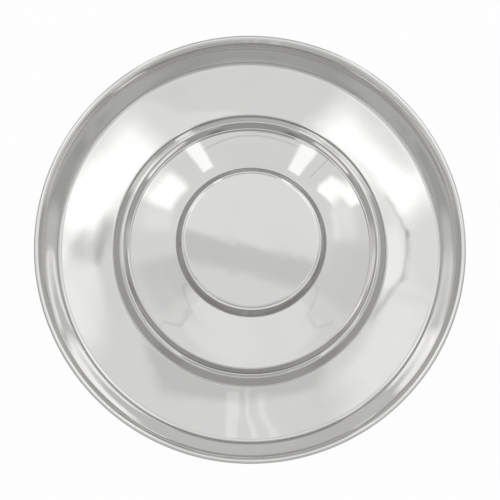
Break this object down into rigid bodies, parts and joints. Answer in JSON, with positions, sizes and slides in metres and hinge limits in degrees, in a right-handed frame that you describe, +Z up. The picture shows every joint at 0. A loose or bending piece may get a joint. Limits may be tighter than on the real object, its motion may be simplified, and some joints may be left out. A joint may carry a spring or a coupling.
{
  "type": "puppy weaning dish",
  "caption": "Round polished steel feeding dish with a raised centre, a ring-shaped food channel, a rolled and wired rim, and a rubber ring under the channel to stop it sliding",
  "frame": {"origin": "on the table, under the middle of the dish", "axes": "+Z up along the dish's axis of turning; X and Y are alike, because the dish is round"},
  "size_m": [0.28, 0.28, 0.0492],
  "materials": {
    "polished_steel": "polished",
    "wire_steel": "drawn",
    "black_rubber": "matt moulded"
  },
  "bodies": {
    "root": {"dish_pan": "polished_steel", "rim_wire": "wire_steel", "non_slip_ring": "black_rubber"}
  },
  "joints": []
}
